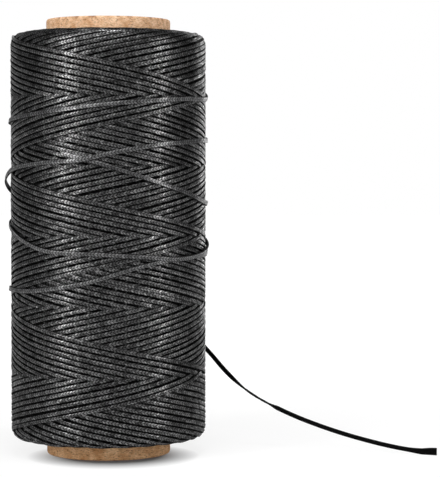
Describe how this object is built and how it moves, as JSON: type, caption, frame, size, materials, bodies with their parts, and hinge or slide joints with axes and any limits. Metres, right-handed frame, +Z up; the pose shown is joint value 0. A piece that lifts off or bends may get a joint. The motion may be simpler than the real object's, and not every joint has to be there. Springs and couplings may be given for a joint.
{
  "type": "waxed thread spool",
  "caption": "Cross-wound package of flat braided waxed thread on a plain spiral-wound paper tube, bare at both ends, with its free end lying out to one side.",
  "frame": {"origin": "centre of the tube's bottom end, on the surface that the spool stands on", "axes": "+Z up along the tube; -Y towards the viewer of the front; +X the side on which the free end lies"},
  "size_m": [0.1389, 0.0646, 0.14],
  "materials": {
    "kraft_liner": "uncoated brown kraft paper",
    "core_board": "grey-brown recycled core board, cut ends",
    "kraft_face": "mottled tan kraft paper",
    "packed_thread": "charcoal waxed braid, tightly wound",
    "waxed_thread": "charcoal braided polyester tape with a waxy sheen"
  },
  "bodies": {
    "root": {"liner_ply": "kraft_liner", "body_ply_1": "core_board", "body_ply_2": "core_board", "body_ply_3": "core_board", "body_ply_4": "core_board", "face_ply": "kraft_face", "thread_package": "packed_thread", "thread_outer_layer": "waxed_thread", "thread_last_turns": "waxed_thread", "thread_tail": "waxed_thread"}
  },
  "joints": []
}
